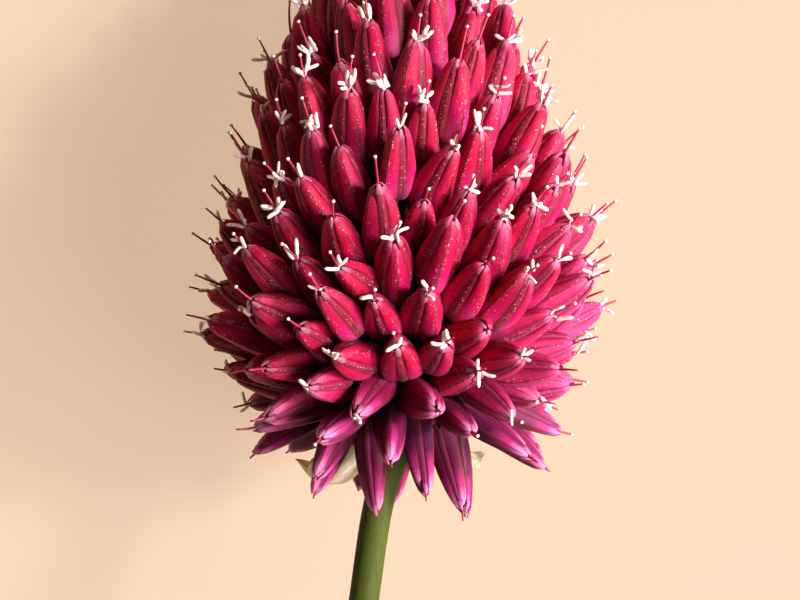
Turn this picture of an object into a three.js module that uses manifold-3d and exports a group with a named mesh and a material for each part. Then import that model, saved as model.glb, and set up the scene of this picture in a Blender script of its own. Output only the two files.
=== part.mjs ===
// The flower head of a drumstick allium (Allium sphaerocephalon), picked with a short stretch of its stalk
// and laid down on a flat surface. Millimetres, +Z up, with the surface at Z = 0.
//
// The head is an umbel: every floret stands on its own pedicel, and all pedicels spread from the top of the
// stalk. The florets' tips lie on an egg-shaped outline whose crown points along the flower's own axis.
// The flower is worked out in its own frame: the origin is the point from which the pedicels spread, +Z
// runs to the crown, -Y is the side that faces up when the flower lies down, and +X is to the right.
import * as THREE from "three";
import { mergeVertices } from "three/addons/utils/BufferGeometryUtils.js";
import Module from "manifold-3d";

const wasm = await Module();
wasm.setup();

// ---- Driving dimensions ----

// Outline of the floret tips: two quarters of a superellipse that meet at the girth.
const GIRTH_RADIUS = 12.5;
const GIRTH_HEIGHT = 5.2; // above the origin
const CROWN_RISE = 26.0; // girth to crown
const CROWN_POWER = 1.46;
const SKIRT_DROP = 15.2; // girth to where the skirt would close under the head
const SKIRT_POWER = 1.7;
const LOWEST_TIP = -8.6; // height of the lowest floret tips
const OUTLINE_STEPS = 400;

// Florets. The stations along a bell are shares of its length and of its radius.
const FLORET_COUNT = 240;
const FLORET_LENGTH = 5.4;
const FLORET_RADIUS = 1.3; // at the keels, where the bell is widest
const SHOULDER = { at: 0.08, radius: 0.74 };
const BELLY = { at: 0.4, keel: 1, groove: 0.86 };
const MOUTH = { at: 0.9, radius: 0.3 };
const PEDICEL_RADIUS = 0.32;
const STYLE_LENGTH = 2.4; // beyond a bell at the crown, where the flower opens first
const BUD_STYLE = 0.4; // beyond a bell at the skirt, where it is still in bud
const SHORTEST_STYLE = 0.3;
const STYLE_ROOM = 0.05; // kept between a style's end and the surface

// How the florets share the outline.
const FLANK_WEIGHT = 0.4; // 0 shares out the area that faces the origin, 1 the outline's own area
const SKIRT_ANGLE = THREE.MathUtils.degToRad(108); // from the crown to where the skirt starts
const SKIRT_DENSITY = 0.65;
const SKIRT_DROOP = 0.3; // how much further a floret under the girth hangs, as a share of its angle there

// Irregularity: each is the full spread of a random draw.
const REACH_SPREAD = 1.8;
const TILT_SPREAD = 0.26; // radians
const SIZE_SPREAD = 0.2;
const STYLE_SPREAD = 0.9;
const RANDOM_SEED = 20250;

// Spreading the florets until their bells stand clear of each other.
const GOLDEN_ANGLE = Math.PI * (3 - Math.sqrt(5));
const PASSES = 120;
const CLEARANCE = 0.05;
const EASE = 0.25; // each of two bells moves by this share of their overlap in a pass
const BEADS = [
  { at: 0.2, radius: 0.9 },
  { at: 0.45, radius: 0.95 },
  { at: 0.72, radius: 0.62 },
];

// The core in which the pedicels meet, as a share of the outline, with a flat seat for the stalk.
const CORE_SHARE = 0.42;
const ROOT_SHARE = 0.3;
const CORE_SIDES = 9;
const CORE_RINGS = 5;
const CORE_ANGLE = THREE.MathUtils.degToRad(125); // from the crown to the rim of the seat
const CORE_FOOT = -2.6;

// Stalk: the centreline runs through these [right, height] points.
const SCAPE_RADIUS = 1.0;
const SCAPE_TOP = CORE_FOOT - 0.3;
const SCAPE_SUNK = 0.4; // how far under its swollen top's face the stalk starts
const SCAPE_LINE = [
  [0, SCAPE_TOP - SCAPE_SUNK],
  [-0.35, -4.6],
  [-1.6, -8.4],
  [-2.6, -15.0],
  [-4.1, -26.0],
];
const SCAPE_SIDES = 16;
const SCAPE_STEPS = 16;
const CUT_SLOPE = 0.35; // the knife's cut across the stalk's end
// The swollen top of the stalk, as [radius, height] from its foot to its top.
const RECEPTACLE = [
  [0.9, -5.2],
  [1.2, -4.3],
  [1.4, -3.5],
  [1.3, SCAPE_TOP],
];

// Spathe: the two papery valves that wrapped the bud, now spread under the head.
const VALVES = [
  { name: "spathe_valve_left", azimuth: 155, size: 1.0 },
  { name: "spathe_valve_right", azimuth: 40, size: 0.86 },
];
// The midrib runs through these [radius, height] points, from its root beside the stalk to its tip.
const VALVE_MIDRIB = [
  [1.66, -3.9],
  [2.6, -5.9],
  [4.3, -7.3],
  [6.3, -7.2],
  [7.9, -5.8],
];
const VALVE_HALF_WIDTH = 3.0;
const VALVE_TAPER = { root: 0.1, tip: 0.92 }; // the stretch of a half wave that its width follows
const VALVE_THICKNESS = 0.6;
const VALVE_CUP = 1.7; // rise of its edges over its midrib
const VALVE_GRID = 8;
const VALVE_SECTOR = 36; // degrees each side of a valve that hold no drooping floret
const VALVE_CLEARS = 112; // florets nearer the crown than this many degrees pass over a valve
const SEAT_GAP = 0.3; // least distance from a floret to the stalk or a valve

// How the flower lies: the crown dips until the flank lies along the surface.
const LIE_DIP = 14; // degrees
const LIE_AT = new THREE.Vector3(0.1, -3.8, 12.9); // the flower's origin, which centres the whole
const PRESSED = 0.25; // depth of the flats where florets press on the surface
const DIPPING = -0.25; // a floret whose axis climbs less than this can be pushed back by the surface

const LAY_DOWN = new THREE.Matrix4()
  .makeRotationX(-THREE.MathUtils.degToRad(90 + LIE_DIP))
  .setPosition(LIE_AT);
const STAND_UP = LAY_DOWN.clone().invert();

const PETAL = new THREE.MeshStandardMaterial({ color: 0xa3124f, roughness: 0.55, metalness: 0 });
const STALK = new THREE.MeshStandardMaterial({ color: 0x5f7030, roughness: 0.5, metalness: 0 });
const PAPER = new THREE.MeshStandardMaterial({ color: 0xd8c9a0, roughness: 0.6, metalness: 0 });

// ---- Helpers ----

// Park and Miller's generator: the same draws in any language.
let randomState = RANDOM_SEED;
function spread(width) {
  randomState = (randomState * 48271) % 2147483647;
  return (randomState / 2147483647 - 0.5) * width;
}

// Looks a value up in a rising list, with straight lines between its points.
function interpolate(value, from, to) {
  let i = 1;
  while (i < from.length - 1 && from[i] < value) i++;
  const share = THREE.MathUtils.clamp((value - from[i - 1]) / (from[i] - from[i - 1]), 0, 1);
  return to[i - 1] + share * (to[i] - to[i - 1]);
}

// Two unit vectors square to a direction, which turn anticlockwise seen from its end.
function crossAxes(direction) {
  const helper = Math.abs(direction.z) < 0.9 ? new THREE.Vector3(0, 0, 1) : new THREE.Vector3(1, 0, 0);
  const side = new THREE.Vector3().crossVectors(helper, direction).normalize();
  return [side, new THREE.Vector3().crossVectors(direction, side)];
}

// Points around a direction, one for each radius.
function ring(centre, direction, radii, roll) {
  const [side, up] = crossAxes(direction);
  return radii.map((radius, i) => {
    const turn = roll + (i / radii.length) * 2 * Math.PI;
    return centre
      .clone()
      .addScaledVector(side, radius * Math.cos(turn))
      .addScaledVector(up, radius * Math.sin(turn));
  });
}

// A closed triangle mesh as a solid.
function solidFrom(positions, triangles) {
  const vertProperties = new Float32Array(positions);
  const triVerts = new Uint32Array(triangles);
  return new wasm.Manifold(new wasm.Mesh({ numProp: 3, vertProperties, triVerts }));
}
const solidFromPoints = (points, faces) => solidFrom(points.flatMap((p) => [p.x, p.y, p.z]), faces.flat());

function solidFromGeometry(geometry) {
  const bare = geometry.clone();
  bare.deleteAttribute("normal");
  bare.deleteAttribute("uv");
  const { attributes, index } = mergeVertices(bare, 1e-4);
  return solidFrom(attributes.position.array, index.array);
}

function meshFrom(solid, name, material) {
  const { numProp, vertProperties, triVerts } = solid.getMesh();
  const position = new Float32Array((vertProperties.length / numProp) * 3);
  for (let i = 0; i < position.length / 3; i++) {
    position.set(vertProperties.subarray(i * numProp, i * numProp + 3), i * 3);
  }
  const geometry = new THREE.BufferGeometry()
    .setAttribute("position", new THREE.BufferAttribute(position, 3))
    .setIndex(new THREE.BufferAttribute(triVerts, 1));
  geometry.computeVertexNormals();
  const mesh = new THREE.Mesh(geometry, material);
  mesh.name = name;
  return mesh;
}

// ---- Outline of the tips ----

// Points [radius, height] from the crown down to the lowest tips, with their polar angle and reach.
const OUTLINE = (() => {
  const points = [];
  for (let i = 0; i <= OUTLINE_STEPS; i++) {
    const turn = (Math.PI * i) / OUTLINE_STEPS;
    const crown = turn < Math.PI / 2;
    const power = 2 / (crown ? CROWN_POWER : SKIRT_POWER);
    const rise = Math.abs(Math.cos(turn)) ** power * (crown ? CROWN_RISE : -SKIRT_DROP);
    points.push([GIRTH_RADIUS * Math.sin(turn) ** power, GIRTH_HEIGHT + rise]);
  }
  return points.filter(([, height]) => height >= LOWEST_TIP);
})();
const OUTLINE_ANGLES = OUTLINE.map(([radius, height]) => Math.atan2(radius, height));
const OUTLINE_REACH = OUTLINE.map(([radius, height]) => Math.hypot(radius, height));

const polarAngle = (direction) => Math.acos(THREE.MathUtils.clamp(direction.z, -1, 1));
const reachAt = (angle) => interpolate(angle, OUTLINE_ANGLES, OUTLINE_REACH);

// ---- Placing the florets ----

// Running total of the outline's area along OUTLINE, thinned at the skirt, by which florets are shared out.
const SHARES = (() => {
  const shares = [0];
  for (let i = 1; i < OUTLINE.length; i++) {
    const [r0, z0] = OUTLINE[i - 1];
    const [r1, z1] = OUTLINE[i];
    const facing = Math.abs(r0 * z1 - z0 * r1) * Math.sin(OUTLINE_ANGLES[i]);
    const whole = Math.hypot(r1 - r0, z1 - z0) * r1;
    const density = OUTLINE_ANGLES[i] > SKIRT_ANGLE ? SKIRT_DENSITY : 1;
    shares.push(shares[i - 1] + density * THREE.MathUtils.lerp(facing, whole, FLANK_WEIGHT));
  }
  return shares;
})();

// A drooping floret has no room where a spathe valve hangs.
function meetsValve(angle, azimuth) {
  return VALVES.some((valve) => {
    const turn = THREE.MathUtils.radToDeg(azimuth) - valve.azimuth;
    const off = Math.abs(THREE.MathUtils.euclideanModulo(turn + 180, 360) - 180);
    return off < VALVE_SECTOR && THREE.MathUtils.radToDeg(angle) > VALVE_CLEARS;
  });
}

// Each floret gets an equal share of the outline and stands a golden angle on from the last.
function drawFlorets() {
  const florets = [];
  for (let i = 0; i < FLORET_COUNT; i++) {
    const angle = interpolate(((i + 0.5) / FLORET_COUNT) * SHARES.at(-1), SHARES, OUTLINE_ANGLES);
    const azimuth = i * GOLDEN_ANGLE;
    const floret = {
      outward: new THREE.Vector3(
        Math.sin(angle) * Math.cos(azimuth),
        Math.sin(angle) * Math.sin(azimuth),
        Math.cos(angle),
      ),
      reach: spread(REACH_SPREAD),
      tilt: [spread(TILT_SPREAD), spread(TILT_SPREAD)],
      roll: spread(2 * Math.PI),
      size: 1 + spread(SIZE_SPREAD),
      style: spread(STYLE_SPREAD),
    };
    if (!meetsValve(angle, azimuth)) florets.push(floret);
  }
  return florets;
}

// Round beads inside a bell, by which it keeps clear of the others and of the surface.
function beadsOf({ tip, axis, length, radius }) {
  return BEADS.map((bead) => ({
    centre: tip.clone().addScaledVector(axis, (bead.at - 1) * length),
    radius: bead.radius * radius,
  }));
}
const lowestOf = (floret) => Math.min(floret.tip.z, ...floret.beads.map((b) => b.centre.z - b.radius));

// Stands a floret's bell at its direction, laid down.
function standBell(floret) {
  const angle = polarAngle(floret.outward);
  const hang = angle + SKIRT_DROOP * Math.max(0, angle - Math.PI / 2);
  const axis = new THREE.Vector3(floret.outward.x, floret.outward.y, 0).setLength(Math.sin(hang));
  axis.z = Math.cos(hang);
  const [side, up] = crossAxes(axis);
  axis.addScaledVector(side, floret.tilt[0]).addScaledVector(up, floret.tilt[1]).normalize();
  const tip = floret.outward.clone().multiplyScalar(reachAt(angle) + floret.reach);
  const inBud = angle / OUTLINE_ANGLES.at(-1);
  floret.axis = axis.transformDirection(LAY_DOWN);
  floret.tip = tip.applyMatrix4(LAY_DOWN);
  floret.length = FLORET_LENGTH * floret.size;
  floret.radius = FLORET_RADIUS * floret.size;
  floret.protrusion = THREE.MathUtils.lerp(STYLE_LENGTH, BUD_STYLE, inBud) + floret.style;
  floret.beads = beadsOf(floret);
  // The surface pushes a floret that would reach below it back along its own axis.
  if (lowestOf(floret) < -PRESSED && floret.axis.z < DIPPING) {
    floret.tip.addScaledVector(floret.axis, (lowestOf(floret) + PRESSED) / -floret.axis.z);
    floret.beads = beadsOf(floret);
  }
}

// The push on the first of two bells that crowd each other. The second gets the opposite one.
function pushBetween(a, b) {
  const push = new THREE.Vector3();
  for (const beadA of a.beads) {
    for (const beadB of b.beads) {
      const apart = beadA.centre.clone().sub(beadB.centre);
      const overlap = beadA.radius + beadB.radius + CLEARANCE - apart.length();
      if (overlap > 0) push.addScaledVector(apart.normalize(), overlap * EASE);
    }
  }
  return push;
}

function spreadFlorets(florets) {
  for (let pass = 0; pass < PASSES; pass++) {
    florets.forEach(standBell);
    const pushes = florets.map(() => new THREE.Vector3());
    for (let i = 0; i < florets.length; i++) {
      for (let j = i + 1; j < florets.length; j++) {
        if (florets[i].tip.distanceTo(florets[j].tip) > 2 * FLORET_LENGTH) continue;
        const push = pushBetween(florets[i], florets[j]);
        pushes[i].add(push);
        pushes[j].sub(push);
      }
    }
    florets.forEach((floret, i) => {
      const push = pushes[i].add(LIE_AT).applyMatrix4(STAND_UP);
      floret.outward.addScaledVector(push, 1 / reachAt(polarAngle(floret.outward))).normalize();
    });
  }
  florets.forEach(standBell);
}

// ---- Floret: pedicel, bell of keeled tepals and style as one body ----

function floretSolid(floret) {
  const { axis, tip, length, radius, roll } = floret;
  const at = (share) => tip.clone().addScaledVector(axis, (share - 1) * length);
  const rootShare = (ROOT_SHARE * LIE_AT.distanceTo(tip)) / LIE_AT.distanceTo(at(0));
  const three = (size) => [size, size, size];
  const keeled = [0, 1, 2].flatMap(() => [BELLY.keel * radius, BELLY.groove * radius]);
  // A style that would reach into the surface ends above it.
  const room = axis.z < 0 ? Math.max(SHORTEST_STYLE, (tip.z - STYLE_ROOM) / -axis.z) : Infinity;

  const points = [
    ...ring(LIE_AT.clone().lerp(at(0), rootShare), axis, three(PEDICEL_RADIUS), roll),
    ...ring(at(0), axis, three(PEDICEL_RADIUS), roll),
    ...ring(at(SHOULDER.at), axis, three(SHOULDER.radius * radius), roll),
    ...ring(at(BELLY.at), axis, keeled, roll),
    ...ring(at(MOUTH.at), axis, three(MOUTH.radius * radius), roll),
    tip.clone().addScaledVector(axis, Math.min(floret.protrusion, room)),
  ];
  // Where each ring starts in the list.
  const [root, neck, shoulder, belly, mouth, end] = [0, 3, 6, 9, 15, 18];
  const faces = [[root + 2, root + 1, root]];
  for (let k = 0; k < 3; k++) {
    const next = (k + 1) % 3;
    const [keel, groove, keelNext] = [belly + 2 * k, belly + 2 * k + 1, belly + ((2 * k + 2) % 6)];
    for (const [low, high] of [[root, neck], [neck, shoulder]]) {
      faces.push([low + k, low + next, high + next], [low + k, high + next, high + k]);
    }
    faces.push(
      [shoulder + k, groove, keel],
      [shoulder + k, shoulder + next, groove],
      [shoulder + next, keelNext, groove],
      [keel, groove, mouth + k],
      [mouth + k, groove, mouth + next],
      [groove, keelNext, mouth + next],
      [mouth + k, mouth + next, end],
    );
  }
  return solidFromPoints(points, faces);
}

// ---- Core ----

// A lathe of the outline drawn in, cut flat at its foot, with its axis along the flower's.
function coreSolid() {
  const profile = [new THREE.Vector2(0, CORE_FOOT)];
  for (let i = CORE_RINGS; i >= 0; i--) {
    const angle = (i / CORE_RINGS) * CORE_ANGLE;
    const reach = CORE_SHARE * reachAt(angle);
    profile.push(new THREE.Vector2(reach * Math.sin(angle), Math.max(reach * Math.cos(angle), CORE_FOOT)));
  }
  profile.at(-1).x = 0;
  const geometry = new THREE.LatheGeometry(profile, CORE_SIDES).rotateX(Math.PI / 2);
  return solidFromGeometry(geometry.applyMatrix4(LAY_DOWN));
}

// ---- Head ----

// The core and the florets, but for those that would touch the stalk or the spathe.
function headSolid(neighbours) {
  const florets = drawFlorets();
  spreadFlorets(florets);
  const standing = florets
    .map(floretSolid)
    .filter((solid) => neighbours.every((other) => solid.minGap(other, 2 * SEAT_GAP) > SEAT_GAP));
  const whole = wasm.Manifold.union([coreSolid(), ...standing]);
  // The florets that press on the surface are flat there.
  return whole.trimByPlane([0, 0, 1], 0);
}

// ---- Stalk ----

function scapeSolid() {
  const section = new THREE.Shape();
  for (let i = 0; i < SCAPE_SIDES; i++) {
    const turn = (i / SCAPE_SIDES) * 2 * Math.PI;
    const corner = [SCAPE_RADIUS * Math.cos(turn), SCAPE_RADIUS * Math.sin(turn)];
    if (i === 0) section.moveTo(...corner);
    else section.lineTo(...corner);
  }
  const extrudePath = new THREE.CatmullRomCurve3(SCAPE_LINE.map(([x, z]) => new THREE.Vector3(x, 0, z)));
  const tube = new THREE.ExtrudeGeometry(section, { steps: SCAPE_STEPS, extrudePath, curveSegments: 1 });
  const profile = [[0, RECEPTACLE[0][1]], ...RECEPTACLE, [0, SCAPE_TOP]];
  const profilePoints = profile.map(([radius, height]) => new THREE.Vector2(radius, height));
  const receptacle = new THREE.LatheGeometry(profilePoints, SCAPE_SIDES).rotateX(Math.PI / 2);
  const [endX, endZ] = SCAPE_LINE.at(-1);
  const cut = new THREE.Vector3(0, -CUT_SLOPE, 1).normalize();
  const cutAt = cut.dot(new THREE.Vector3(endX, 0, endZ + SCAPE_RADIUS));
  return solidFromGeometry(tube)
    .add(solidFromGeometry(receptacle))
    .trimByPlane(cut.toArray(), cutAt)
    .transform(LAY_DOWN.toArray());
}

// ---- Spathe ----

// A boat-shaped blade: a grid of points along and across it, one sheet inside the other.
function valveSolid({ azimuth, size }) {
  const [rootRadius, rootHeight] = VALVE_MIDRIB[0];
  const midrib = new THREE.SplineCurve(
    VALVE_MIDRIB.map(([radius, height]) => {
      const out = rootRadius + size * (radius - rootRadius);
      return new THREE.Vector2(out, rootHeight + size * (height - rootHeight));
    }),
  );
  const sheets = [0, VALVE_THICKNESS].map((depth) => {
    const points = [];
    for (let i = 0; i <= VALVE_GRID; i++) {
      const along = i / VALVE_GRID;
      const wave = THREE.MathUtils.lerp(VALVE_TAPER.root, VALVE_TAPER.tip, along);
      const halfWidth = VALVE_HALF_WIDTH * size * Math.sin(Math.PI * wave);
      const spot = midrib.getPoint(along);
      const { x: run, y: climb } = midrib.getTangent(along);
      for (let j = 0; j <= VALVE_GRID; j++) {
        const across = (2 * j) / VALVE_GRID - 1;
        const inward = depth + VALVE_CUP * size * across ** 2 * Math.sin(Math.PI * along);
        points.push(new THREE.Vector3(spot.x - climb * inward, across * halfWidth, spot.y + run * inward));
      }
    }
    return points;
  });
  const width = VALVE_GRID + 1;
  const top = width * width;
  const faces = [];
  for (let i = 0; i < VALVE_GRID; i++) {
    for (let j = 0; j < VALVE_GRID; j++) {
      const [a, b, c, d] = [i * width + j, (i + 1) * width + j, (i + 1) * width + j + 1, i * width + j + 1];
      faces.push([a, d, c], [a, c, b], [top + a, top + c, top + d], [top + a, top + b, top + c]);
    }
  }
  const rim = [];
  for (let k = 0; k < VALVE_GRID; k++) rim.push(k * width);
  for (let k = 0; k < VALVE_GRID; k++) rim.push(VALVE_GRID * width + k);
  for (let k = VALVE_GRID; k > 0; k--) rim.push(k * width + VALVE_GRID);
  for (let k = VALVE_GRID; k > 0; k--) rim.push(k);
  rim.forEach((low, k) => {
    const next = rim[(k + 1) % rim.length];
    faces.push([low, next, top + next], [low, top + next, top + low]);
  });
  const place = new THREE.Matrix4().makeRotationZ(THREE.MathUtils.degToRad(azimuth)).premultiply(LAY_DOWN);
  return solidFromPoints(sheets.flat(), faces).transform(place.toArray());
}

// ---- Assembly ----

const flower = new THREE.Group();
flower.name = "drumstick_allium";
const scape = scapeSolid();
const valves = VALVES.map(valveSolid);
flower.add(meshFrom(headSolid([scape, ...valves]), "umbel", PETAL));
flower.add(meshFrom(scape, "scape", STALK));
valves.forEach((valve, i) => flower.add(meshFrom(valve, VALVES[i].name, PAPER)));

export default flower;
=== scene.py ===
"""The looks of the drumstick allium flower head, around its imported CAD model.

Places and sizes are worked out in millimetres, as the part's source has them, and meshes are in metres.
The flower's own frame has its origin where the pedicels spread, +Z to the crown, -Y to the side that faces
up when the flower lies down, and +X to the right.
"""
import math
from typing import NamedTuple

import bpy
import numpy as np
from mathutils import Matrix, Vector, kdtree


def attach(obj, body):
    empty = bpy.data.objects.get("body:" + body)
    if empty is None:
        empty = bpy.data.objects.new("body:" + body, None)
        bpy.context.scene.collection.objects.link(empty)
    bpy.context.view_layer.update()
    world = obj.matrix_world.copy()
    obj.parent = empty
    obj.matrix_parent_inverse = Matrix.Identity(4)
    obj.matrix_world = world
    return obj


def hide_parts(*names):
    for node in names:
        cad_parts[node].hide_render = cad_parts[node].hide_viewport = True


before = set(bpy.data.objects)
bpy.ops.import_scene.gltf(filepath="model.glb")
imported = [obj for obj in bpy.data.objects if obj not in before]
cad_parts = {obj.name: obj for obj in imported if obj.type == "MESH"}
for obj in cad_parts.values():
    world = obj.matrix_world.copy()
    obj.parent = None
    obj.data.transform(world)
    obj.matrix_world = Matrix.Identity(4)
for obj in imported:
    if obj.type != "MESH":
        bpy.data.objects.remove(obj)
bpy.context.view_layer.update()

MM = 0.001

# ---- Driving dimensions, as in the part's source ----

GIRTH_RADIUS, GIRTH_HEIGHT = 12.5, 5.2
CROWN_RISE, CROWN_POWER = 26.0, 1.46
SKIRT_DROP, SKIRT_POWER = 15.2, 1.7
LOWEST_TIP = -8.6
OUTLINE_STEPS = 400

FLORET_COUNT = 240
FLORET_LENGTH, FLORET_RADIUS = 5.4, 1.3
BELLY_AT, BELLY_GROOVE = 0.4, 0.86
STYLE_LENGTH, BUD_STYLE, SHORTEST_STYLE = 2.4, 0.4, 0.3
FLANK_WEIGHT = 0.4
SKIRT_ANGLE = math.radians(108)
SKIRT_DENSITY, SKIRT_DROOP = 0.65, 0.3

REACH_SPREAD, TILT_SPREAD, SIZE_SPREAD, STYLE_SPREAD = 1.8, 0.26, 0.2, 0.9
RANDOM_SEED, RANDOM_FACTOR, RANDOM_RANGE = 20250, 48271, 2147483647

GOLDEN_ANGLE = math.pi * (3 - math.sqrt(5))
PASSES, CLEARANCE, EASE = 120, 0.05, 0.25
BEAD_AT = np.array([0.2, 0.45, 0.72])
BEAD_RADIUS = np.array([0.9, 0.95, 0.62])

VALVE_AZIMUTHS = {"spathe_valve_left": 155, "spathe_valve_right": 40}
VALVE_SIZES = {"spathe_valve_left": 1.0, "spathe_valve_right": 0.86}
VALVE_MIDRIB = [(1.66, -3.9), (2.6, -5.9), (4.3, -7.3), (6.3, -7.2), (7.9, -5.8)]
VALVE_HALF_WIDTH, VALVE_CUP = 3.0, 1.7
VALVE_SECTOR, VALVE_CLEARS = 36, 112

SCAPE_RADIUS, SCAPE_TOP, SCAPE_SUNK, CUT_SLOPE = 1.0, -2.9, 0.4, 0.35
SCAPE_LINE = [(0, SCAPE_TOP - SCAPE_SUNK), (-0.35, -4.6), (-1.6, -8.4), (-2.6, -15.0), (-4.1, -26.0)]

LIE_DIP = math.radians(14)
LIE_AT = np.array([0.1, -3.8, 12.9])
PRESSED, DIPPING = 0.25, -0.25

# Laid down: columns are where the flower's right, away side and crown point.
TURN = -(math.pi / 2 + LIE_DIP)
LAY_DOWN = np.array([
    [1, 0, 0],
    [0, math.cos(TURN), -math.sin(TURN)],
    [0, math.sin(TURN), math.cos(TURN)],
])
RIGHT, TOWARDS, UP = LAY_DOWN[:, 0], -LAY_DOWN[:, 1], LAY_DOWN[:, 2]  # as the camera sees them


def laid(points):
    """Points of the flower's own frame, laid down."""
    return np.asarray(points) @ LAY_DOWN.T + LIE_AT


# ---- Outline of the tips, and the florets' places ----

STEEP = 0.9  # a direction that climbs or falls this much gets its cross axes from +X instead of +Z
SAME_CORNER = 0.4  # a corner of a bell is on the umbel if one of the umbel's vertices is this near


def outline():
    """[radius, height] of the outline from the crown down to the lowest tips."""
    turn = np.linspace(0, math.pi, OUTLINE_STEPS + 1)
    crown = turn < math.pi / 2
    power = 2 / np.where(crown, CROWN_POWER, SKIRT_POWER)
    rise = np.abs(np.cos(turn)) ** power * np.where(crown, CROWN_RISE, -SKIRT_DROP)
    points = np.stack([GIRTH_RADIUS * np.sin(turn).clip(0) ** power, GIRTH_HEIGHT + rise], 1)
    return points[points[:, 1] >= LOWEST_TIP]


OUTLINE = outline()
OUTLINE_ANGLES = np.arctan2(OUTLINE[:, 0], OUTLINE[:, 1])
OUTLINE_REACH = np.hypot(OUTLINE[:, 0], OUTLINE[:, 1])


def reach_at(angle):
    """How far the outline is from the origin, at an angle from the crown."""
    return np.interp(angle, OUTLINE_ANGLES, OUTLINE_REACH)


def shares():
    """Running total of the outline's area, thinned at the skirt, by which florets are shared out."""
    (r0, z0), (r1, z1) = OUTLINE[:-1].T, OUTLINE[1:].T
    facing = np.abs(r0 * z1 - z0 * r1) * np.sin(OUTLINE_ANGLES[1:])
    whole = np.hypot(r1 - r0, z1 - z0) * r1
    density = np.where(OUTLINE_ANGLES[1:] > SKIRT_ANGLE, SKIRT_DENSITY, 1)
    return np.concatenate([[0], np.cumsum(density * (facing + (whole - facing) * FLANK_WEIGHT))])


def meets_valve(angle, azimuth):
    """A drooping floret has no room where a spathe valve hangs."""
    offs = (abs((math.degrees(azimuth) - at + 180) % 360 - 180) for at in VALVE_AZIMUTHS.values())
    return math.degrees(angle) > VALVE_CLEARS and any(off < VALVE_SECTOR for off in offs)


def unit(vectors):
    """The vectors drawn out or in to a length of 1."""
    return vectors / np.linalg.norm(vectors, axis=-1, keepdims=True)


def cross_axes(direction):
    """Two unit vectors square to each direction, which turn anticlockwise seen from its end."""
    upright = np.abs(direction[..., 2:]) >= STEEP
    helper = np.where(upright, [1.0, 0.0, 0.0], [0.0, 0.0, 1.0])
    side = unit(np.cross(helper, direction))
    return side, np.cross(direction, side)


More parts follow.
